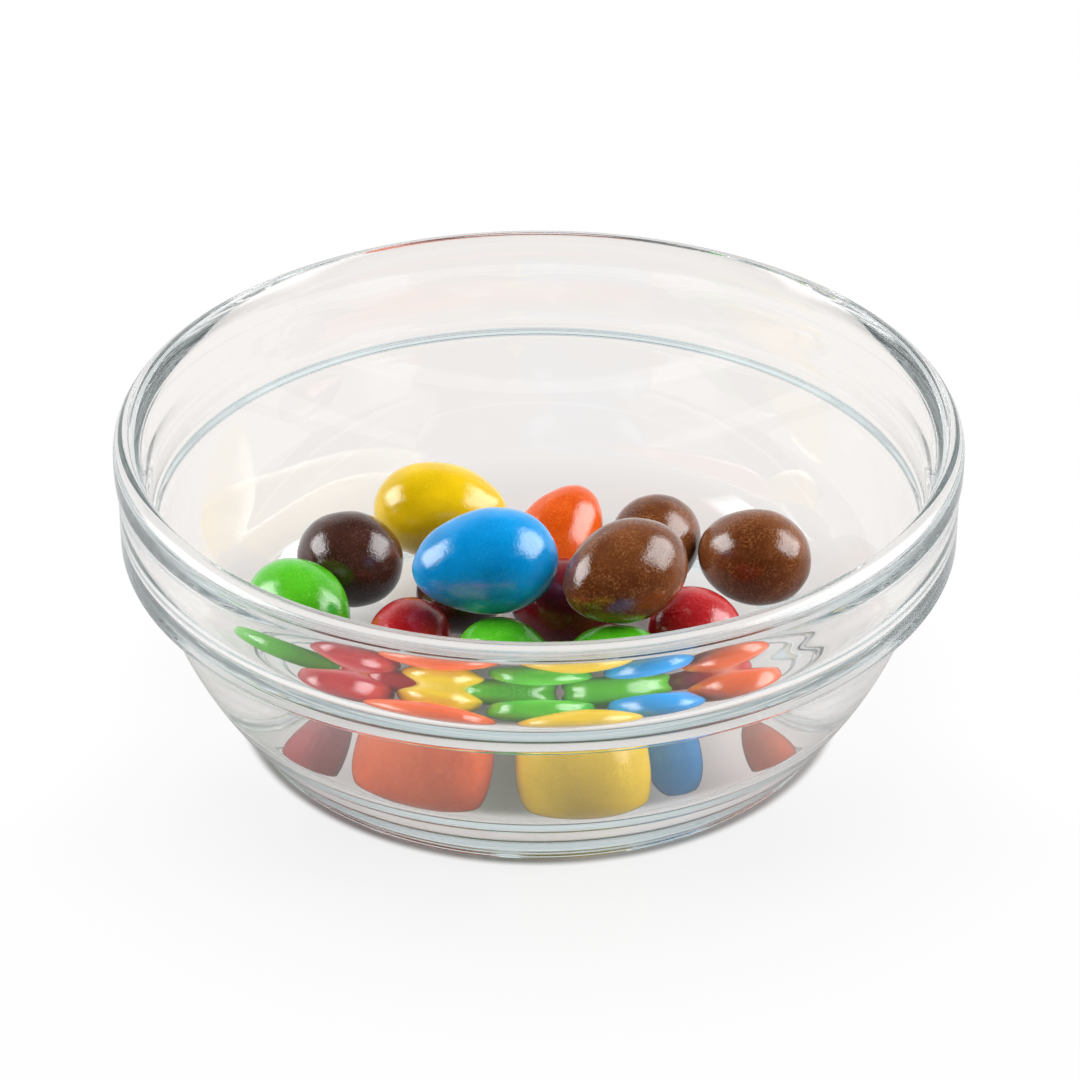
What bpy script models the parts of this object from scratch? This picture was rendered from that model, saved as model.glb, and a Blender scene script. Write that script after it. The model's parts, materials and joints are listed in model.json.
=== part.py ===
"""Pressed glass stacking bowl with a heap of sugar-shelled chocolate nuts lying loose in it.

Units are metres, +Z is up. The origin is the middle of the foot, on the table.
The bowl is one turned profile. Each nut is an egg-shaped solid that is lowered into the bowl
until it lies on the glass or on the nuts below it.
"""
import math
from collections import namedtuple

import bmesh
import bpy
import numpy as np
from mathutils import Euler

# Rim and collar of the glass bowl
RIM_RADIUS = 0.0600
BOWL_HEIGHT = 0.0454
RIM_WIDTH = 0.00315
CROWN_SET_IN = 0.0022
CROWN_OUTER_DROP = 0.0022
CROWN_INNER_DROP = 0.0012
CROWN_ROUND = 0.55
BEAD_HEIGHT = 0.0041
BEAD_FADE = 0.00465
BEAD_STEP = 0.00045
COLLAR_HEIGHT = 0.0170
COLLAR_CORNER = 0.0011
LIP_OVERHANG = 0.0040
NECK_FILLET = 0.0012

# Inner wall: it bends upright behind the foot of the collar and flares at the mouth.
# Each lean is counted from the upright, and each reach says how far that lean carries.
BEND_RISE = 0.0028
BEND_WALL = 0.0055
BEND_LEAN = math.radians(20)
BEND_REACH = 0.0038
BEND_FALL = 0.0060
MOUTH_LEAN = math.radians(24.5)
MOUTH_REACH = 0.00675
WALL_FOOT_LEAN = math.radians(20.5)
WALL_FOOT_REACH = 0.0060

# Lower wall, floor and foot
FOOT_RADIUS = 0.0430
FOOT_HEIGHT = 0.0027
FOOT_DRAFT = 0.0010
FOOT_EDGE = 0.0007
FOOT_RING_WIDTH = 0.0034
RECESS_DEPTH = 0.0012
RECESS_SLOPE = 0.0016
FLOOR_HEIGHT = 0.0042
FLOOR_SET_IN = 0.0086
FLOOR_FILLET = 0.0145

# Lean of the outer wall from the level, at the neck and at the foot, and how far each lean carries
NECK_LEAN = math.radians(76)
FOOT_LEAN = math.radians(48)
NECK_REACH = 0.0098
FOOT_REACH = 0.0085

# Facets, and the distance within which the turned profile closes on itself
BOWL_STEPS = 60
FLOOR_STEPS = 5
INNER_WALL_STEPS = 4
COLLAR_STEPS = 8
OUTER_WALL_STEPS = 7
CROWN_STEPS = 5
BEAD_STEPS = 4
CORNER_STEPS = 3
FILLET_STEPS = 2
CANDY_SEGMENTS = 18
CANDY_RINGS = 10
MERGE_DISTANCE = 0.00001

# Space left between pieces that touch, and the search that settles a nut
CLEARANCE = 0.0003
SETTLE_STEPS = (0.0012, 0.0006, 0.0003)
STRAY_COST = 260.0
PROBE_POINTS = 200
SWELL_LEAST = 0.6
SWELL_MOST = 1.4

# Colours of the sugar shells, linear red, green and blue
SHELL_COLOURS = {
    "yellow": (0.760, 0.500, 0.004),
    "blue": (0.002, 0.240, 0.620),
    "orange": (0.800, 0.110, 0.012),
    "green": (0.080, 0.480, 0.015),
    "red": (0.420, 0.010, 0.016),
    "maroon": (0.160, 0.008, 0.014),
    "brown": (0.110, 0.035, 0.012),
    "dark_brown": (0.040, 0.018, 0.015),
}
GLASS_COLOUR = (0.930, 0.970, 0.965)
GLASS_ROUGHNESS = 0.02
SHELL_ROUGHNESS = 0.25

# One nut: its sizes, where it is let down (x to the right, y to the back), which way its long axis
# points, how far that axis is raised, and how much fatter its leading end is than its other end.
Candy = namedtuple("Candy", "name shell length width height x y yaw raised fatter")
CANDIES = (
    Candy("candy_yellow_front", "yellow", 0.0188, 0.0146, 0.0142, 0.0060, -0.0374, 8, 0, 0.06),
    Candy("candy_orange_front", "orange", 0.0212, 0.0138, 0.0138, -0.0160, -0.0344, -26, 0, 0.10),
    Candy("candy_blue_front", "blue", 0.0170, 0.0130, 0.0126, 0.0158, -0.0264, 128, 4, -0.08),
    Candy("candy_orange_right", "orange", 0.0194, 0.0136, 0.0132, 0.0278, -0.0182, 115, 12, 0.06),
    Candy("candy_red_front", "red", 0.0200, 0.0140, 0.0138, -0.0284, -0.0198, 68, 12, 0.05),
    Candy("candy_green_right", "green", 0.0158, 0.0132, 0.0128, 0.0118, -0.0124, 20, 0, -0.06),
    Candy("candy_green_middle", "green", 0.0164, 0.0132, 0.0128, -0.0044, -0.0102, -38, 0, -0.10),
    Candy("candy_red_left", "red", 0.0156, 0.0124, 0.0124, -0.0189, -0.0046, 75, 0, 0.04),
    Candy("candy_red_right", "red", 0.0144, 0.0134, 0.0130, 0.0212, -0.0030, -8, 0, -0.08),
    Candy("candy_green_left", "green", 0.0176, 0.0140, 0.0136, -0.0350, 0.0040, -50, 0, -0.08),
    Candy("candy_brown_left", "dark_brown", 0.0166, 0.0146, 0.0142, -0.0282, 0.0170, -35, 0, 0.04),
    Candy("candy_yellow_back", "yellow", 0.0204, 0.0150, 0.0146, -0.0149, 0.0310, -9, 0, -0.10),
    Candy("candy_orange_back", "orange", 0.0176, 0.0132, 0.0128, 0.0030, 0.0222, 55, 38, -0.16),
    Candy("candy_brown_back", "brown", 0.0172, 0.0138, 0.0134, 0.0172, 0.0225, 75, 10, 0.06),
    Candy("candy_brown_right", "brown", 0.0172, 0.0146, 0.0142, 0.0308, 0.0172, -20, 0, 0.05),
    Candy("candy_green_front", "green", 0.0160, 0.0126, 0.0122, 0.0012, -0.0252, 15, 0, -0.06),
    Candy("candy_yellow_middle", "yellow", 0.0136, 0.0122, 0.0116, -0.0135, -0.0186, 100, 0, 0.08),
    Candy("candy_brown_under", "dark_brown", 0.0166, 0.0136, 0.0132, -0.0128, 0.0078, 70, 0, 0.05),
    Candy("candy_maroon_middle", "maroon", 0.0170, 0.0138, 0.0134, 0.0028, 0.0056, -30, 0, 0.05),
    Candy("candy_blue_top", "blue", 0.0212, 0.0158, 0.0152, -0.0076, -0.0036, 9, 3, 0.12),
    Candy("candy_brown_top", "brown", 0.0194, 0.0148, 0.0144, 0.0122, -0.0064, 36, 6, 0.12),
)


def arc(centre, radii, start, end, steps):
    """Points of an elliptical arc in the profile plane, angles in degrees from +r towards +z."""
    points = []
    for step in range(steps + 1):
        angle = math.radians(start + (end - start) * step / steps)
        points.append((centre[0] + radii[0] * math.cos(angle), centre[1] + radii[1] * math.sin(angle)))
    return points


def bezier(first, first_handle, last_handle, last, steps):
    """Points of a cubic curve in the profile plane."""
    points = []
    for step in range(steps + 1):
        t = step / steps
        weights = ((1 - t) ** 3, 3 * t * (1 - t) ** 2, 3 * t * t * (1 - t), t ** 3)
        corners = (first, first_handle, last_handle, last)
        points.append(tuple(sum(w * c[i] for w, c in zip(weights, corners)) for i in range(2)))
    return points


def collar_foot():
    """Height of the collar's lower edge."""
    return BOWL_HEIGHT - COLLAR_HEIGHT


def leaning(start, lean, reach):
    """The point that lies a reach away from a start, along a lean from the upright."""
    return (start[0] + math.sin(lean) * reach, start[1] + math.cos(lean) * reach)


def between(start, end, share):
    """The point at a share of the way from a start to an end."""
    return (start[0] + (end[0] - start[0]) * share, start[1] + (end[1] - start[1]) * share)


def inner_profile():
    """The wall that holds the nuts, from the middle of the floor up to the crown of the rim."""
    floor_r = FOOT_RADIUS - FLOOR_SET_IN
    bend = (RIM_RADIUS - BEND_WALL, collar_foot() + BEND_RISE)
    mouth = (RIM_RADIUS - RIM_WIDTH, BOWL_HEIGHT - CROWN_INNER_DROP)
    crown = (RIM_RADIUS - CROWN_SET_IN, BOWL_HEIGHT)
    brink = (mouth[0] + math.tan(MOUTH_LEAN) * CROWN_INNER_DROP, BOWL_HEIGHT)
    points = [(0.0, FLOOR_HEIGHT)]
    points += arc(
        (floor_r, FLOOR_HEIGHT + FLOOR_FILLET),
        (FLOOR_FILLET, FLOOR_FILLET),
        -90,
        -math.degrees(WALL_FOOT_LEAN),
        FLOOR_STEPS,
    )
    wall_foot = points[-1]
    points += bezier(
        wall_foot,
        leaning(wall_foot, WALL_FOOT_LEAN, WALL_FOOT_REACH),
        leaning(bend, BEND_LEAN, -BEND_FALL),
        bend,
        INNER_WALL_STEPS,
    )[1:]
    points += bezier(
        bend,
        leaning(bend, BEND_LEAN, BEND_REACH),
        leaning(mouth, MOUTH_LEAN, -MOUTH_REACH),
        mouth,
        COLLAR_STEPS,
    )[1:]
    points += bezier(
        mouth, between(mouth, brink, CROWN_ROUND), between(crown, brink, CROWN_ROUND), crown, CORNER_STEPS
    )[1:]
    return points


def outer_profile():
    """The outside, from the crown of the rim down to the foot and in under the floor."""
    crown_r = RIM_RADIUS - CROWN_SET_IN
    crown_foot = BOWL_HEIGHT - CROWN_OUTER_DROP
    bead_foot = BOWL_HEIGHT - BEAD_HEIGHT
    collar_r = RIM_RADIUS - BEAD_STEP
    collar_corner = (collar_r - COLLAR_CORNER, collar_foot() + COLLAR_CORNER)
    neck = (RIM_RADIUS - LIP_OVERHANG, collar_foot() - NECK_FILLET)
    heel = (FOOT_RADIUS + FOOT_DRAFT, FOOT_HEIGHT)
    ring_r = FOOT_RADIUS - FOOT_RING_WIDTH
    points = arc((crown_r, crown_foot), (CROWN_SET_IN, CROWN_OUTER_DROP), 90, 0, CROWN_STEPS)[1:]
    for step in range(BEAD_STEPS + 1):
        share = step / BEAD_STEPS
        fade = (1 + math.cos(math.pi * share)) / 2
        points.append((collar_r + BEAD_STEP * fade, bead_foot - BEAD_FADE * share))
    points += arc(collar_corner, (COLLAR_CORNER, COLLAR_CORNER), 0, -90, CORNER_STEPS)
    points += arc((neck[0] + NECK_FILLET, neck[1]), (NECK_FILLET, NECK_FILLET), 90, 180, FILLET_STEPS)
    points += bezier(
        neck,
        (neck[0] - math.cos(NECK_LEAN) * NECK_REACH, neck[1] - math.sin(NECK_LEAN) * NECK_REACH),
        (heel[0] + math.cos(FOOT_LEAN) * FOOT_REACH, heel[1] + math.sin(FOOT_LEAN) * FOOT_REACH),
        heel,
        OUTER_WALL_STEPS,
    )[1:]
    points += arc((FOOT_RADIUS - FOOT_EDGE, FOOT_EDGE), (FOOT_EDGE, FOOT_EDGE), 0, -90, FILLET_STEPS)
    points += [(ring_r, 0.0), (ring_r - RECESS_SLOPE, RECESS_DEPTH), (0.0, RECESS_DEPTH)]
    return points


def make_material(name, colour, roughness, transmission=0.0):
    """A Principled material of one colour."""
    material = bpy.data.materials.new(name)
    material.use_nodes = True
    shader = material.node_tree.nodes["Principled BSDF"]
    shader.inputs["Base Color"].default_value = (*colour, 1.0)
    shader.inputs["Roughness"].default_value = roughness
    shader.inputs["Metallic"].default_value = 0.0
    shader.inputs["Transmission Weight"].default_value = transmission
    return material


def add_object(name, mesh, material, collection):
    """Link a named object with its material."""
    mesh.materials.append(material)
    piece = bpy.data.objects.new(name, mesh)
    collection.objects.link(piece)
    return piece


def make_bowl(collection):
    """The pressed glass bowl, one profile turned about the upright axis."""
    profile = inner_profile() + outer_profile()
    mesh = bpy.data.meshes.new("glass_bowl")
    shape = bmesh.new()
    vertices = [shape.verts.new((r, 0.0, z)) for r, z in profile]
    for upper, lower in zip(vertices, vertices[1:]):
        shape.edges.new((upper, lower))
    shape.to_mesh(mesh)
    shape.free()
    glass = make_material("clear_glass", GLASS_COLOUR, GLASS_ROUGHNESS, transmission=1.0)
    bowl = add_object("glass_bowl", mesh, glass, collection)
    turn = bowl.modifiers.new("turned", "SCREW")
    turn.axis = "Z"
    turn.angle = 2 * math.pi
    turn.steps = BOWL_STEPS
    turn.render_steps = BOWL_STEPS
    turn.use_merge_vertices = True
    turn.merge_threshold = MERGE_DISTANCE
    turn.use_smooth_shade = True
    return bowl


def half_sizes(candy):
    """Half length, half width and half height of a nut."""
    return np.array((candy.length, candy.width, candy.height)) / 2


def egg(candy, unit_points):
    """Points of a unit sphere drawn out to the nut's egg shape, in the nut's own frame."""
    shaped = unit_points * half_sizes(candy)
    shaped[:, 1:] *= 1 + candy.fatter * unit_points[:, :1]
    return shaped


def turn_of(candy):
    """The nut's rotation, as Euler angles."""
    return Euler((0.0, -math.radians(candy.raised), math.radians(candy.yaw)), "XYZ")


def probe_sphere():
    """Points spread evenly over a unit sphere along a spiral."""
    index = np.arange(PROBE_POINTS) + 0.5
    lift = 1 - 2 * index / PROBE_POINTS
    turn = index * math.pi * (1 + math.sqrt(5))
    ring = np.sqrt(1 - lift ** 2)
    return np.stack((ring * np.cos(turn), ring * np.sin(turn), lift), axis=1)


class Lying:
    """A nut at one place: its turn, its middle and its probe points in the bowl's frame."""

    def __init__(self, candy, probes):
        self.half = half_sizes(candy)
        self.fatter = candy.fatter
        self.turn = np.array(turn_of(candy).to_matrix())
        self.shape = egg(candy, probes) @ self.turn.T
        self.middle = np.zeros(3)

    def points(self):
        return self.shape + self.middle

    def gap_to(self, points):
        """Distance from this nut's surface to each point, negative inside."""
        local = (points - self.middle) @ self.turn
        swell = np.clip(1 + self.fatter * local[:, :1] / self.half[0], SWELL_LEAST, SWELL_MOST)
        sizes = np.concatenate((np.full_like(swell, self.half[0]), swell * self.half[1:]), axis=1)
        scaled = local / sizes
        level = np.linalg.norm(scaled, axis=1)
        slope = np.linalg.norm(scaled / sizes, axis=1) / level
        return (level - 1) / slope


def gap_to_glass(points, wall):
    """Distance from the inside of the bowl to each point, negative in the glass."""
    radius = np.hypot(points[:, 0], points[:, 1])
    spot = np.stack((radius, points[:, 2]), axis=1)
    starts = wall[:-1]
    runs = wall[1:] - starts
    along = np.einsum("psk,sk->ps", spot[:, None] - starts, runs) / (runs ** 2).sum(axis=1)
    nearest = starts + np.clip(along, 0, 1)[:, :, None] * runs
    distance = np.linalg.norm(spot[:, None] - nearest, axis=2).min(axis=1)
    above = points[:, 2] > np.interp(radius, wall[:, 0], wall[:, 1])
    return np.where(above, distance, -distance)


def lies_clear(lying, others, wall):
    """Whether a nut keeps the clearance to the glass and to the nuts that already lie there."""
    points = lying.points()
    if gap_to_glass(points, wall).min() < CLEARANCE:
        return False
    for other in others:
        reach = lying.half[0] + other.half[0] + CLEARANCE
        if np.linalg.norm(lying.middle - other.middle) > reach:
            continue
        if other.gap_to(points).min() < CLEARANCE or lying.gap_to(other.points()).min() < CLEARANCE:
            return False
    return True


def lower(lying, x, y, others, wall):
    """Let a nut straight down at x, y until only the clearance is left under it."""
    low = FLOOR_HEIGHT
    high = BOWL_HEIGHT * 2
    while high - low > CLEARANCE / 20:
        middle = (low + high) / 2
        lying.middle = np.array((x, y, middle))
        if lies_clear(lying, others, wall):
            high = middle
        else:
            low = middle
    lying.middle = np.array((x, y, high))
    return high


def settle(lying, x, y, others, wall):
    """Let a nut down near x, y, and let it roll to the lowest place close by."""
    def cost(spot):
        stray = (spot[0] - x) ** 2 + (spot[1] - y) ** 2
        return lower(lying, spot[0], spot[1], others, wall) + STRAY_COST * stray

    best = (x, y)
    best_cost = cost(best)
    for step in SETTLE_STEPS:
        moved = True
        while moved:
            moved = False
            for shift in ((step, 0), (-step, 0), (0, step), (0, -step)):
                spot = (best[0] + shift[0], best[1] + shift[1])
                spot_cost = cost(spot)
                if spot_cost < best_cost - CLEARANCE / 10:
                    best, best_cost, moved = spot, spot_cost, True
    lower(lying, best[0], best[1], others, wall)


def make_candy(candy, middle, collection):
    """One egg-shaped nut, its origin in its middle."""
    shape = bmesh.new()
    bmesh.ops.create_uvsphere(shape, u_segments=CANDY_SEGMENTS, v_segments=CANDY_RINGS, radius=1.0)
    bmesh.ops.rotate(shape, verts=shape.verts, matrix=Euler((0, math.pi / 2, 0)).to_matrix())
    for vertex in shape.verts:
        vertex.co = egg(candy, np.array(vertex.co)[None])[0]
    mesh = bpy.data.meshes.new(candy.name)
    shape.to_mesh(mesh)
    shape.free()
    mesh.shade_smooth()
    material = make_material(candy.name + "_shell", SHELL_COLOURS[candy.shell], SHELL_ROUGHNESS)
    piece = add_object(candy.name, mesh, material, collection)
    piece.location = middle
    piece.rotation_euler = turn_of(candy)
    return piece


def build():
    for old in list(bpy.data.objects):
        bpy.data.objects.remove(old, do_unlink=True)
    collection = bpy.data.collections.new("candy_bowl")
    bpy.context.scene.collection.children.link(collection)
    make_bowl(collection)
    wall = np.array(inner_profile())
    probes = probe_sphere()
    settled = []
    for candy in CANDIES:
        lying = Lying(candy, probes)
        settle(lying, candy.x, candy.y, settled, wall)
        settled.append(lying)
        make_candy(candy, lying.middle, collection)


build()
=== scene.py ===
import json
import math

import bmesh
import bpy
import numpy as np
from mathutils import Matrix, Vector, noise


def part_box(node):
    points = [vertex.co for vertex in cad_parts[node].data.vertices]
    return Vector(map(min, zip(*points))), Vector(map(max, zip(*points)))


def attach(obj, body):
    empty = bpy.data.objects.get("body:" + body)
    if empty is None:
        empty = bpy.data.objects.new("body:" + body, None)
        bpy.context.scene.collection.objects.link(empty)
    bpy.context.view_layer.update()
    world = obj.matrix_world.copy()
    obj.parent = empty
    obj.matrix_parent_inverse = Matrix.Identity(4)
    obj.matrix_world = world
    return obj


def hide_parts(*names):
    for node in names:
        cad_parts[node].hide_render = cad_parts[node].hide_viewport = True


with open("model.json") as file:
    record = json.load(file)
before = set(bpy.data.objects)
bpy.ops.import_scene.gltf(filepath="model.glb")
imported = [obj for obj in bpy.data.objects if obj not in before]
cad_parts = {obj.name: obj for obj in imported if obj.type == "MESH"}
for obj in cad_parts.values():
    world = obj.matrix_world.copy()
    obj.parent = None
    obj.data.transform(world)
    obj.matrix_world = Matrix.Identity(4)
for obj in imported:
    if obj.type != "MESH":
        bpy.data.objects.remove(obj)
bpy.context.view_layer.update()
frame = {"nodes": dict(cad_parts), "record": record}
scene = bpy.context.scene
scene.view_settings.view_transform = "Standard"


# Glass bowl
# One piece of clear soda-lime glass, pressed in a mould and fire-polished, so that every edge is round.
# A bead and a heavy collar stiffen the rim, the collar's step carries a stacked bowl, and a foot ring stands
# on the table.

bowl_low, bowl_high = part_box("glass_bowl")
rim_radius = (bowl_high.x - bowl_low.x) / 2
bowl_height = bowl_high.z - bowl_low.z
rim_width = 0.00315
crown_set_in = 0.0022
crown_outer_drop = 0.0022
crown_inner_drop = 0.0012
crown_round = 0.55
bead_height = 0.0041
bead_fade = 0.00465
bead_step = 0.00045
bead_fade_steps = 30
collar_height = 0.0170
collar_corner = 0.0011
lip_overhang = 0.0040
neck_fillet = 0.0012
neck_lean = math.radians(76)
neck_reach = 0.0098
bend_rise = 0.0028
bend_wall = 0.0055
bend_lean = math.radians(20)
bend_reach = 0.0038
bend_fall = 0.0060
mouth_lean = math.radians(24.5)
mouth_reach = 0.00675
wall_foot_lean = math.radians(20.5)
wall_foot_reach = 0.0060
foot_radius = 0.0430
foot_height = 0.0027
foot_draft = 0.0010
foot_edge = 0.0007
foot_lean = math.radians(48)
foot_reach = 0.0085
foot_ring_width = 0.0034
recess_depth = 0.0012
recess_slope = 0.0016
floor_height = 0.0042
floor_set_in = 0.0086
floor_fillet = 0.0145
bowl_turns = 256
merge_distance = 0.000001
glass_index = 1.52
glass_tint_colour = (0.860, 0.898, 0.904, 1.0)
glass_tint_density = 14.0
glass_bounces = 96


def arc(centre, radii, start, end, steps):
    """Points of an elliptical arc in the profile plane, angles in degrees from outward towards up."""
    angles = [math.radians(start + (end - start) * step / steps) for step in range(steps + 1)]
    return [(centre[0] + radii[0] * math.cos(a), centre[1] + radii[1] * math.sin(a)) for a in angles]


def curve(first, first_handle, last_handle, last, steps):
    """Points of a cubic curve in the profile plane, without its first one."""
    points = []
    for step in range(1, steps + 1):
        t = step / steps
        weights = ((1 - t) ** 3, 3 * t * (1 - t) ** 2, 3 * t * t * (1 - t), t ** 3)
        corners = (first, first_handle, last_handle, last)
        points.append(tuple(sum(w * c[i] for w, c in zip(weights, corners)) for i in range(2)))
    return points


def leaning(start, lean, reach):
    """The point that lies a reach away from a start, along a lean from the upright."""
    return (start[0] + math.sin(lean) * reach, start[1] + math.cos(lean) * reach)


def inside_of_bowl():
    """Half section of the inside, from the middle of the floor up to the crown of the rim."""
    floor_r = foot_radius - floor_set_in
    bend = (rim_radius - bend_wall, bowl_height - collar_height + bend_rise)
    mouth = (rim_radius - rim_width, bowl_height - crown_inner_drop)
    crown = (rim_radius - crown_set_in, bowl_height)
    brink = mouth[0] + math.tan(mouth_lean) * crown_inner_drop
    points = [(0.0, floor_height), (floor_r / 2, floor_height)]
    points += arc(
        centre=(floor_r, floor_height + floor_fillet),
        radii=(floor_fillet, floor_fillet),
        start=-90,
        end=-math.degrees(wall_foot_lean),
        steps=30,
    )
    wall_foot = points[-1]
    points += curve(
        first=wall_foot,
        first_handle=leaning(wall_foot, wall_foot_lean, wall_foot_reach),
        last_handle=leaning(bend, bend_lean, -bend_fall),
        last=bend,
        steps=30,
    )
    points += curve(
        first=bend,
        first_handle=leaning(bend, bend_lean, bend_reach),
        last_handle=leaning(mouth, mouth_lean, -mouth_reach),
        last=mouth,
        steps=50,
    )
    points += curve(
        first=mouth,
        first_handle=leaning(mouth, mouth_lean, crown_round * crown_inner_drop / math.cos(mouth_lean)),
        last_handle=(crown[0] + (brink - crown[0]) * crown_round, bowl_height),
        last=crown,
        steps=20,
    )
    return points


def outside_of_bowl():
    """Half section of the outside, from the crown of the rim down to the recess in the foot."""
    neck_z = bowl_height - collar_height
    crown_r = rim_radius - crown_set_in
    collar_r = rim_radius - bead_step
    neck = (rim_radius - lip_overhang, neck_z - neck_fillet)
    heel = (foot_radius + foot_draft, foot_height)
    ring_r = foot_radius - foot_ring_width
    crown = arc(
        centre=(crown_r, bowl_height - crown_outer_drop),
        radii=(crown_set_in, crown_outer_drop),
        start=90,
        end=0,
        steps=20,
    )
    points = crown[1:]
    for step in range(bead_fade_steps + 1):
        share = step / bead_fade_steps
        fade = (1 + math.cos(math.pi * share)) / 2
        points.append((collar_r + bead_step * fade, bowl_height - bead_height - bead_fade * share))
    points += arc(
        centre=(collar_r - collar_corner, neck_z + collar_corner),
        radii=(collar_corner, collar_corner),
        start=0,
        end=-90,
        steps=12,
    )
    points += arc(
        centre=(neck[0] + neck_fillet, neck[1]),
        radii=(neck_fillet, neck_fillet),
        start=90,
        end=90 + math.degrees(neck_lean),
        steps=10,
    )
    points += curve(
        first=points[-1],
        first_handle=(neck[0] - math.cos(neck_lean) * neck_reach, neck[1] - math.sin(neck_lean) * neck_reach),
        last_handle=(heel[0] + math.cos(foot_lean) * foot_reach, heel[1] + math.sin(foot_lean) * foot_reach),
        last=heel,
        steps=40,
    )
    points += arc(
        centre=(foot_radius - foot_edge, foot_edge),
        radii=(foot_edge, foot_edge),
        start=0,
        end=-90,
        steps=8,
    )
    points += curve(
        first=(ring_r, 0.0),
        first_handle=(ring_r - recess_slope / 2, 0.0),
        last_handle=(ring_r - recess_slope / 2, recess_depth),
        last=(ring_r - recess_slope, recess_depth),
        steps=12,
    )
    points += [(ring_r / 2, recess_depth), (0.0, recess_depth)]
    return points


def new_piece(name, shape, body):
    """Make a smooth piece of a finished bmesh, riding on a CAD body."""
    mesh = bpy.data.meshes.new(name)
    shape.to_mesh(mesh)
    shape.free()
    mesh.shade_smooth()
    piece = bpy.data.objects.new(name, mesh)
    scene.collection.objects.link(piece)
    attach(piece, body)
    return piece


def mixed_shader(material, share, first, second):
    """Two of a material's shaders, mixed by a share."""
    mix = material.node_tree.nodes.new("ShaderNodeMixShader")
    material.node_tree.links.new(share, mix.inputs["Fac"])
    material.node_tree.links.new(first, mix.inputs[1])
    material.node_tree.links.new(second, mix.inputs[2])
    return mix.outputs["Shader"]


shape = bmesh.new()
section = [shape.verts.new((r, 0.0, z)) for r, z in inside_of_bowl() + outside_of_bowl()]
edges = [shape.edges.new(pair) for pair in zip(section, section[1:])]
bmesh.ops.spin(
    shape,
    geom=section + edges,
    axis=(0, 0, 1),
    cent=(0, 0, 0),
    angle=2 * math.pi,
    steps=bowl_turns,
    use_merge=True,
)
bmesh.ops.remove_doubles(shape, verts=shape.verts, dist=merge_distance)
bmesh.ops.recalc_face_normals(shape, faces=shape.faces)
glass_bowl = new_piece("clear_bowl", shape, "bowl")
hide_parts("glass_bowl")

# The glass casts no shadow, so that light reaches the nuts once. Light that runs round inside the collar
# needs many bounces to come out again, or the collar's edges turn black.
glass_bowl.visible_shadow = False
glass_bowl.visible_diffuse = False
scene.cycles.max_bounces = glass_bounces
scene.cycles.transmission_bounces = glass_bounces
scene.cycles.glossy_bounces = glass_bounces

glass = bpy.data.materials.new("soda_lime_glass")
glass.use_nodes = True
glass_nodes = glass.node_tree.nodes
glass_link = glass.node_tree.links.new
glass_end = glass_nodes["Material Output"]
glass_shader = glass_nodes["Principled BSDF"]
glass_shader.inputs["Base Color"].default_value = (1.0, 1.0, 1.0, 1.0)
glass_shader.inputs["Roughness"].default_value = 0.0
glass_shader.inputs["IOR"].default_value = glass_index
glass_shader.inputs["Transmission Weight"].default_value = 1.0
glass_tint = glass_nodes.new("ShaderNodeVolumeAbsorption")
glass_tint.inputs["Color"].default_value = glass_tint_colour
glass_tint.inputs["Density"].default_value = glass_tint_density
glass_link(glass_tint.outputs["Volume"], glass_end.inputs["Volume"])

# The nuts' blurred reflections pass straight through. Rays from the camera and from glass meet the glass.
glass_rays = glass_nodes.new("ShaderNodeLightPath")
glass_clear = glass_nodes.new("ShaderNodeBsdfTransparent")
glass_sheer = mixed_shader(
    glass,
    share=glass_rays.outputs["Is Glossy Ray"],
    first=glass_shader.outputs["BSDF"],
    second=glass_clear.outputs["BSDF"],
)
glass_whole = mixed_shader(
    glass,
    share=glass_rays.outputs["Is Singular Ray"],
    first=glass_sheer,
    second=glass_shader.outputs["BSDF"],
)
glass_link(glass_whole, glass_end.inputs["Surface"])
glass_bowl.data.materials.append(glass)


# Sugar-shelled nuts
# Roasted nuts in milk chocolate, panned in thin coats of coloured sugar and polished with wax.
# The coats build up unevenly, so each nut is a slightly lumpy egg with fine pale flecks in its shell.
# The nuts lie loose in the bowl, in a heap.

shell_colours = {
    "yellow_shell": (0.90, 0.58, 0.0),
    "blue_shell": (0.0, 0.315, 0.80),
    "orange_shell": (0.88, 0.10, 0.004),
    "green_shell": (0.07, 0.56, 0.004),
    "red_shell": (0.52, 0.006, 0.012),
    "maroon_shell": (0.20, 0.006, 0.012),
    "brown_shell": (0.130, 0.030, 0.006),
    "dark_brown_shell": (0.046, 0.014, 0.009),
}
fleck_colours = {
    "yellow_shell": (0.93, 0.66, 0.02),
    "blue_shell": (0.01, 0.42, 0.86),
    "orange_shell": (0.95, 0.22, 0.04),
    "green_shell": (0.22, 0.70, 0.07),
    "red_shell": (0.72, 0.10, 0.10),
    "maroon_shell": (0.32, 0.04, 0.05),
    "brown_shell": (0.46, 0.19, 0.07),
    "dark_brown_shell": (0.16, 0.07, 0.05),
}
deep_share = 0.80
light_share = 0.20
nut_fill = 0.992
lump_size = 0.030
lump_pitch = 1.4
ripple_size = 0.005
ripple_pitch = 4.0
seed_steps = (3.7, 1.3, -2.1)
nut_fineness = 6
measured_share = 0.9
place_digits = 7


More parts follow.
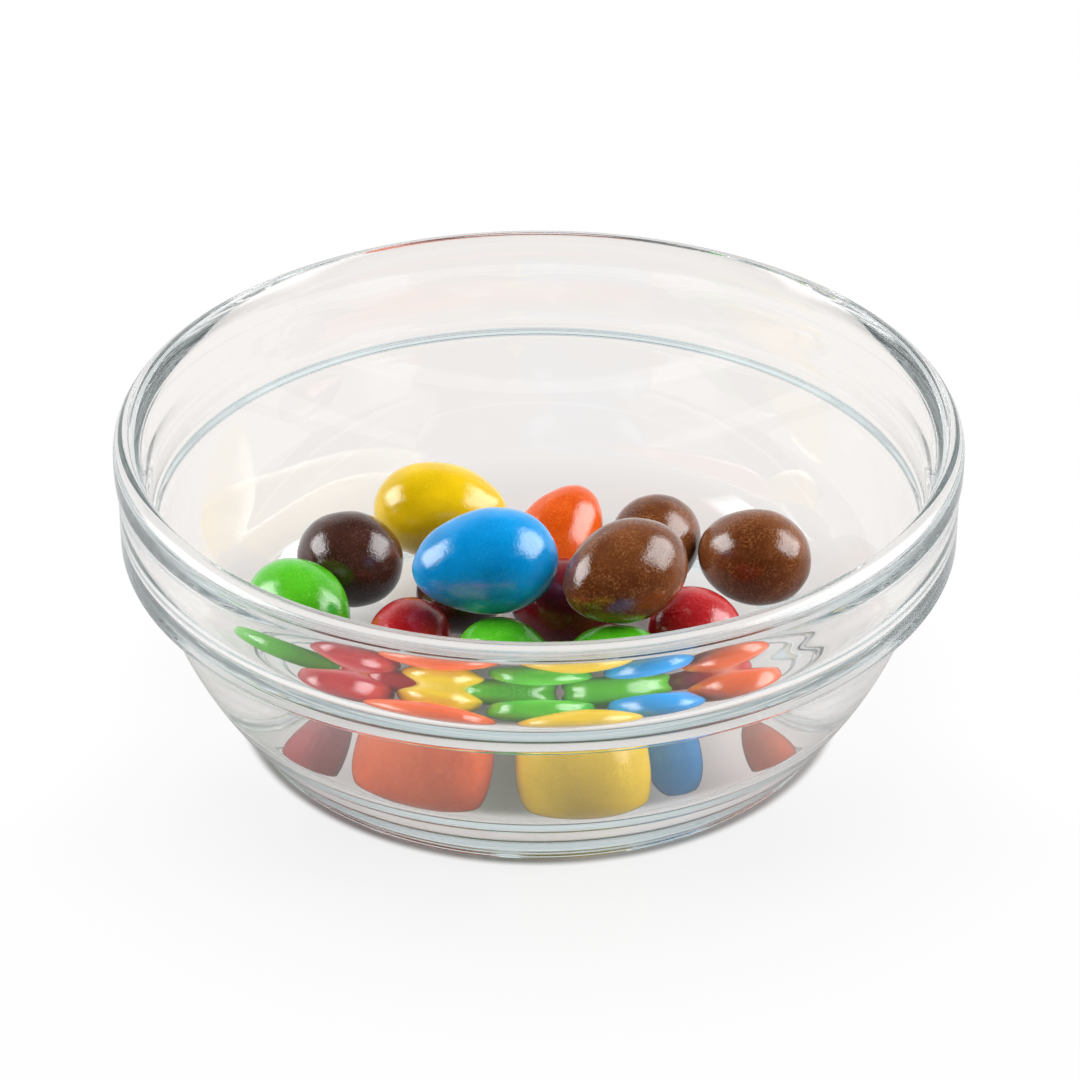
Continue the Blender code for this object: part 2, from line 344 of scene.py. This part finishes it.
def nut_form(node):
    """Middle, axes, half sizes and taper of a nut, read from its solid."""
    corners = np.array([v.co for v in frame["nodes"][node].data.vertices])
    points = np.unique(np.round(corners, place_digits), axis=0)
    tip = points[np.argmax(np.linalg.norm(points - points.mean(axis=0), axis=1))]
    tail = points[np.argmax(np.linalg.norm(points - tip, axis=1))]
    middle = (tip + tail) / 2
    half_length = np.linalg.norm(tip - tail) / 2
    along = (tip - tail) / (2 * half_length)
    share = (points - middle) @ along / half_length
    ring = np.abs(share) < measured_share
    across = (points - middle - np.outer(share * half_length, along))[ring]
    across /= np.sqrt(1 - share[ring] ** 2)[:, None]
    spread, axes = np.linalg.eigh(across.T @ across * 2 / len(across))
    wide, high = axes[:, 2], axes[:, 1]
    half_width, half_height = np.sqrt(spread[2]), np.sqrt(spread[1])
    swell = np.hypot(across @ wide / half_width, across @ high / half_height) - 1
    taper = (swell @ share[ring]) / (share[ring] @ share[ring])
    return middle, (along, wide, high), (half_length, half_width, half_height), taper


def nut_shape(node, seed):
    """A fine, slightly lumpy egg that fills the nut's solid."""
    middle, axes, halves, taper = nut_form(node)
    shape = bmesh.new()
    bmesh.ops.create_icosphere(shape, subdivisions=nut_fineness, radius=1.0)
    shift = Vector([seed * step for step in seed_steps])
    for vertex in shape.verts:
        unit = vertex.co.copy()
        lumps = noise.noise(unit * lump_pitch + shift) * lump_size
        ripples = noise.noise(unit * ripple_pitch + shift) * ripple_size
        swell = 1 + taper * unit.x
        size = nut_fill + (lumps + ripples)
        local = (unit.x * halves[0], unit.y * halves[1] * swell, unit.z * halves[2] * swell)
        place = middle + size * sum(axis * step for axis, step in zip(axes, local))
        vertex.co = Vector(place)
    bmesh.ops.recalc_face_normals(shape, faces=shape.faces)
    return shape


def shell_material(slot):
    """Polished sugar shell: cloudy colour, clustered fine flecks and a faintly uneven wax gloss."""
    material = bpy.data.materials.new("sugar_" + slot)
    material.use_nodes = True
    nodes = material.node_tree.nodes
    link = material.node_tree.links.new
    shader = nodes["Principled BSDF"]
    place = nodes.new("ShaderNodeTexCoord").outputs["Object"]

    def pattern(scale, detail, low, high):
        """Noise on the nut, as it is and stretched so that low gives nothing and high gives all."""
        noise_node = nodes.new("ShaderNodeTexNoise")
        noise_node.inputs["Scale"].default_value = scale
        noise_node.inputs["Detail"].default_value = detail
        link(place, noise_node.inputs["Vector"])
        spread = nodes.new("ShaderNodeMapRange")
        spread.inputs["From Min"].default_value = low
        spread.inputs["From Max"].default_value = high
        link(noise_node.outputs["Fac"], spread.inputs["Value"])
        return noise_node.outputs["Fac"], spread.outputs["Result"]

    def blend(share, first, second):
        """Two colours mixed by a share; each is a colour or the output of a node."""
        mix = nodes.new("ShaderNodeMix")
        mix.data_type = "RGBA"
        link(share, mix.inputs["Factor"])
        for socket, colour in ((mix.inputs["A"], first), (mix.inputs["B"], second)):
            if isinstance(colour, tuple):
                socket.default_value = (*colour, 1.0)
            else:
                link(colour, socket)
        return mix.outputs["Result"]

    def unevenness(height, strength, distance):
        """A bump of the shell's surface, from the height that a pattern gives."""
        bump = nodes.new("ShaderNodeBump")
        bump.inputs["Strength"].default_value = strength
        bump.inputs["Distance"].default_value = distance
        link(height, bump.inputs["Height"])
        return bump

    base = shell_colours[slot]
    fleck = fleck_colours[slot]
    deep = tuple(deep_share * channel for channel in base)
    light = tuple((1 - light_share) * plain + light_share * pale for plain, pale in zip(base, fleck))
    cloud = pattern(scale=150.0, detail=6.0, low=0.34, high=0.66)[1]
    cluster = pattern(scale=420.0, detail=3.0, low=0.28, high=0.66)[1]
    grain, specks = pattern(scale=2900.0, detail=4.0, low=0.46, high=0.82)
    flecks = nodes.new("ShaderNodeMath")
    flecks.operation = "MULTIPLY"
    link(cluster, flecks.inputs[0])
    link(specks, flecks.inputs[1])
    clouded = blend(cloud, deep, light)
    link(blend(flecks.outputs["Value"], clouded, fleck), shader.inputs["Base Color"])

    swell = pattern(scale=420.0, detail=2.0, low=0.0, high=1.0)[0]
    waves = unevenness(swell, strength=0.35, distance=0.0002)
    pits = unevenness(grain, strength=0.40, distance=0.0001)
    link(waves.outputs["Normal"], pits.inputs["Normal"])
    link(pits.outputs["Normal"], shader.inputs["Normal"])
    link(pits.outputs["Normal"], shader.inputs["Coat Normal"])
    shader.inputs["Roughness"].default_value = 0.40
    shader.inputs["IOR"].default_value = 1.5
    shader.inputs["Specular IOR Level"].default_value = 0.0
    shader.inputs["Coat Weight"].default_value = 1.0
    shader.inputs["Coat Roughness"].default_value = 0.07
    shader.inputs["Coat IOR"].default_value = 1.65
    return material


slot_of = {row["node"]: row["material_slot"] for row in frame["record"]["subparts"]}
body_of = {node: body for body, nodes in frame["record"]["behaviour"]["bodies"].items() for node in nodes}
shells = {slot: shell_material(slot) for slot in shell_colours}
for seed, node in enumerate(sorted(name for name in slot_of if name.startswith("candy_"))):
    nut = new_piece(node.replace("candy_", "") + "_sugar_nut", nut_shape(node, seed), body_of[node])
    nut.data.materials.append(shells[slot_of[node]])
    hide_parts(node)


# Table top
# A plain, smooth, white table that the bowl stands on, with shade round the foot and towards the front,
# partly cast and partly painted.
# Light Path makes it glow pale to the camera and through the glass, while the nuts' wax shows a painted
# reflection of a dark table.

table_size = 6.0
table_gloss = 0.10
table_index = 1.6
table_tint_through = (0.945, 0.912, 0.886, 1.0)
contact_radius = 0.0446
open_radius = 0.090
front_shade_y = -0.045
front_light_y = -0.005
dark_middle_radius = 0.024
pale_ring_radius = 0.037
through_radius = 0.080
mirror_radius = 0.120
wax_dark_y = -0.02
wax_light_y = 0.07

shape = bmesh.new()
bmesh.ops.create_grid(shape, x_segments=1, y_segments=1, size=table_size)
table_mesh = bpy.data.meshes.new("table_top")
shape.to_mesh(table_mesh)
shape.free()
table_top = bpy.data.objects.new("table_top", table_mesh)
scene.collection.objects.link(table_top)

table_white = bpy.data.materials.new("table_white")
table_white.use_nodes = True
table_nodes = table_white.node_tree.nodes
table_link = table_white.node_tree.links.new
table_shader = table_nodes["Principled BSDF"]
table_shader.inputs["Roughness"].default_value = table_gloss
table_shader.inputs["IOR"].default_value = table_index
table_place = table_nodes.new("ShaderNodeTexCoord").outputs["Object"]
table_way = table_nodes.new("ShaderNodeVectorMath")
table_way.operation = "LENGTH"
table_link(table_place, table_way.inputs[0])
table_spot = table_nodes.new("ShaderNodeSeparateXYZ")
table_link(table_place, table_spot.inputs["Vector"])
table_radius = table_way.outputs["Value"]
table_depth = table_spot.outputs["Y"]


def smooth_ramp(tree, measure, start, end, low, high):
    """A smooth change from low to high, as a measure goes from start to end."""
    ramp = tree.nodes.new("ShaderNodeMapRange")
    ramp.interpolation_type = "SMOOTHSTEP"
    ramp.inputs["From Min"].default_value = start
    ramp.inputs["From Max"].default_value = end
    ramp.inputs["To Min"].default_value = low
    ramp.inputs["To Max"].default_value = high
    tree.links.new(measure, ramp.inputs["Value"])
    return ramp.outputs["Result"]


def table_ramp(measure, start, end, low, high):
    """A smooth change of the table along its radius or its depth."""
    return smooth_ramp(table_white.node_tree, measure, start, end, low, high)


def table_math(operation, first, *others):
    """The table's values, put together one after the other by a step of arithmetic."""
    for other in others:
        step = table_nodes.new("ShaderNodeMath")
        step.operation = operation
        table_link(first, step.inputs[0])
        table_link(other, step.inputs[1])
        first = step.outputs["Value"]
    return first


# Painted shadow: the table's colour darkens in a ring at the edge of the foot, where the glass foot would
# shade it.
painted_foot_shade = table_math(
    "MAXIMUM",
    table_ramp(table_radius, foot_radius - foot_ring_width, foot_radius, low=0.50, high=0.30),
    table_ramp(table_radius, foot_radius, foot_radius + foot_ring_width, low=0.30, high=0.46),
)
table_link(painted_foot_shade, table_shader.inputs["Base Color"])

# How much the table glows white to the camera, through the glass, and mirrored in smooth glass. To the camera
# the glow fades near the foot and towards the front, which paints shade there.
table_rays = table_nodes.new("ShaderNodeLightPath")
glossy_ray = table_rays.outputs["Is Glossy Ray"]
through_ray = table_rays.outputs["Is Transmission Ray"]
mirrored_ray = table_math("MULTIPLY", glossy_ray, table_rays.outputs["Is Singular Ray"])
white_and_painted_shade_to_camera = table_math(
    "ADD",
    table_ramp(table_radius, foot_radius, contact_radius, low=0.0, high=0.82),
    table_ramp(table_radius, contact_radius, open_radius, low=0.0, high=0.16),
    table_ramp(table_depth, front_shade_y, front_light_y, low=0.0, high=0.12),
)
# Painted light and shade through the glass: no glow under the middle, a pale glow under the foot ring, and
# the palest glow further out.
glow_and_painted_shade_through = table_math(
    "ADD",
    table_ramp(table_radius, dark_middle_radius, pale_ring_radius, low=0.0, high=0.58),
    table_ramp(table_radius, foot_radius, through_radius, low=0.0, high=0.36),
)
# Painted shade in smooth glass: the mirrored glow is faint near the bowl and stronger further out.
glow_and_painted_shade_mirrored = table_ramp(table_radius, foot_radius, mirror_radius, low=0.05, high=0.50)
table_share = table_math(
    "ADD",
    table_math("MULTIPLY", table_rays.outputs["Is Camera Ray"], white_and_painted_shade_to_camera),
    table_math("MULTIPLY", through_ray, glow_and_painted_shade_through),
    table_math("MULTIPLY", mirrored_ray, glow_and_painted_shade_mirrored),
)
table_tone = table_nodes.new("ShaderNodeMix")
table_tone.data_type = "RGBA"
table_tone.inputs["A"].default_value = (1.0, 1.0, 1.0, 1.0)
table_tone.inputs["B"].default_value = table_tint_through
table_link(through_ray, table_tone.inputs["Factor"])
table_glow = table_nodes.new("ShaderNodeEmission")
table_glow.inputs["Strength"].default_value = 1.0
table_link(table_tone.outputs["Result"], table_glow.inputs["Color"])
table_pale = mixed_shader(
    table_white,
    share=table_share,
    first=table_shader.outputs["BSDF"],
    second=table_glow.outputs["Emission"],
)

# Painted reflection: in the nuts' blurred reflections the table is only a glow, dark in front and pale
# behind.
table_painted_reflection = table_nodes.new("ShaderNodeEmission")
table_link(
    table_ramp(table_depth, wax_dark_y, wax_light_y, low=0.07, high=0.90),
    table_painted_reflection.inputs["Strength"],
)
table_whole = mixed_shader(
    table_white,
    share=table_math("SUBTRACT", glossy_ray, mirrored_ray),
    first=table_pale,
    second=table_painted_reflection.outputs["Emission"],
)
table_link(table_whole, table_nodes["Material Output"].inputs["Surface"])
table_top.data.materials.append(table_white)


# Studio light
# Two softboxes on stands, a small one at the left and a large one at the right, and a weak one above the
# camera. The room is dim, with a pale wall behind the table. Smooth glass shows the lamps only faintly.

lamp_distance = 2.0
lamp_middle = 0.5
lamp_mirrored = 0.05
room_tint_through = (0.90, 0.985, 1.0, 1.0)
wax_front_light = 0.02


def softbox(name, azimuth, elevation, width, height, radiance, edge):
    """A lamp that faces the bowl and fades at its edges, its azimuth counted from the camera's side."""
    lamp = bpy.data.lights.new(name, "AREA")
    lamp.shape = "RECTANGLE"
    lamp.size = width
    lamp.size_y = height
    lamp.energy = radiance * math.pi * width * height
    lamp.use_nodes = True
    nodes = lamp.node_tree.nodes
    link = lamp.node_tree.links.new
    spot = nodes.new("ShaderNodeSeparateXYZ")
    link(nodes.new("ShaderNodeNewGeometry").outputs["Parametric"], spot.inputs["Vector"])
    mirrored = nodes.new("ShaderNodeMapRange")
    mirrored.inputs["To Min"].default_value = 1.0
    mirrored.inputs["To Max"].default_value = lamp_mirrored
    link(nodes.new("ShaderNodeLightPath").outputs["Is Singular Ray"], mirrored.inputs["Value"])
    strength = mirrored.outputs["Result"]
    for axis in ("X", "Y"):
        off_edge = nodes.new("ShaderNodeMath")
        off_edge.operation = "PINGPONG"
        off_edge.inputs[1].default_value = lamp_middle
        link(spot.outputs[axis], off_edge.inputs[0])
        fade = smooth_ramp(lamp.node_tree, off_edge.outputs["Value"], start=0.0, end=edge, low=0.0, high=1.0)
        faded = nodes.new("ShaderNodeMath")
        faded.operation = "MULTIPLY"
        link(fade, faded.inputs[0])
        link(strength, faded.inputs[1])
        strength = faded.outputs["Value"]
    link(strength, nodes["Emission"].inputs["Strength"])
    box = bpy.data.objects.new(name, lamp)
    turn, lift = math.radians(azimuth), math.radians(elevation)
    away = Vector((math.sin(turn) * math.cos(lift), -math.cos(turn) * math.cos(lift), math.sin(lift)))
    box.location = away * lamp_distance
    box.rotation_euler = away.to_track_quat("Z", "Y").to_euler()
    box.visible_camera = False
    box.visible_transmission = False
    scene.collection.objects.link(box)
    return box


softbox("softbox_left", azimuth=-97, elevation=27, width=1.9, height=1.4, radiance=7.0, edge=0.22)
softbox("softbox_right", azimuth=95, elevation=35, width=2.5, height=2.0, radiance=6.1, edge=0.25)
fill = softbox("ceiling_fill", azimuth=0, elevation=50, width=2.4, height=2.0, radiance=0.40, edge=0.2)
fill.visible_glossy = False

room = bpy.data.worlds.new("dim_room")
scene.world = room
room.use_nodes = True
room_nodes = room.node_tree.nodes
room_link = room.node_tree.links.new
room_way = room_nodes.new("ShaderNodeSeparateXYZ")
room_link(room_nodes.new("ShaderNodeTexCoord").outputs["Generated"], room_way.inputs["Vector"])


def room_ramp(axis, start, end, low=0.0, high=1.0):
    """A smooth change of the room along one axis of the direction that is looked in."""
    return smooth_ramp(room.node_tree, room_way.outputs[axis], start, end, low, high)


def room_mix(share, first, second):
    """Two of the room's values, mixed by a share; each is a number or the output of a node."""
    mix = room_nodes.new("ShaderNodeMix")
    room_link(share, mix.inputs["Factor"])
    for socket, value in ((mix.inputs["A"], first), (mix.inputs["B"], second)):
        if isinstance(value, float):
            socket.default_value = value
        else:
            room_link(value, socket)
    return mix.outputs["Result"]


# The front of the room is dim, and the wall at the back is pale and fades upwards.
room_rays = room_nodes.new("ShaderNodeLightPath")
room_through = room_rays.outputs["Is Transmission Ray"]
back_share = room_ramp("Y", start=-0.2, end=0.5)
room_light = room_mix(
    back_share,
    room_ramp("Z", start=0.3, end=0.5, low=0.06, high=0.14),
    room_ramp("Z", start=0.5, end=0.8, low=0.80, high=0.25),
)
room_gloss = room_mix(
    back_share,
    wax_front_light,
    room_ramp("Z", start=0.3, end=0.8, low=0.70, high=0.10),
)

# Through the glass the room is dark at the front and low at the sides, and pale above and behind.
room_glass_back = room_mix(
    room_ramp("Y", start=0.60, end=0.95),
    room_ramp("Z", start=0.45, end=0.75, low=0.18, high=0.92),
    room_ramp("Z", start=0.0, end=0.6, low=0.80, high=0.92),
)
room_glass = room_mix(
    room_ramp("Y", start=-0.42, end=-0.15),
    room_ramp("Z", start=0.0, end=1.0, low=0.18, high=0.10),
    room_glass_back,
)
room_seen = room_mix(
    room_through,
    room_mix(room_rays.outputs["Is Glossy Ray"], room_light, room_gloss),
    room_glass,
)
room_link(room_seen, room_nodes["Background"].inputs["Strength"])
room_tone = room_nodes.new("ShaderNodeMix")
room_tone.data_type = "RGBA"
room_tone.inputs["A"].default_value = (1.0, 1.0, 1.0, 1.0)
room_tone.inputs["B"].default_value = room_tint_through
room_link(room_through, room_tone.inputs["Factor"])
room_link(room_tone.outputs["Result"], room_nodes["Background"].inputs["Color"])


# Camera
# It stands in front of the bowl and looks down on it through a long lens.
# Its angle, distance and lens are fitted to the ellipses of the rim and the foot.

camera_rise = math.radians(31.418)
camera_distance = 0.600
camera_aim = Vector((0.000173, 0.0, 0.025565))
focal_pixels = 4180.4
frame_pixels = 1080
lens = bpy.data.cameras.new("camera")
lens.sensor_width = 36.0
lens.lens = focal_pixels / frame_pixels * lens.sensor_width
lens.clip_start = 0.01
lens.clip_end = 30.0
camera = bpy.data.objects.new("camera", lens)
camera.location = camera_aim + camera_distance * Vector((0, -math.cos(camera_rise), math.sin(camera_rise)))
camera.rotation_euler = (math.pi / 2 - camera_rise, 0, 0)
scene.collection.objects.link(camera)
scene.camera = camera
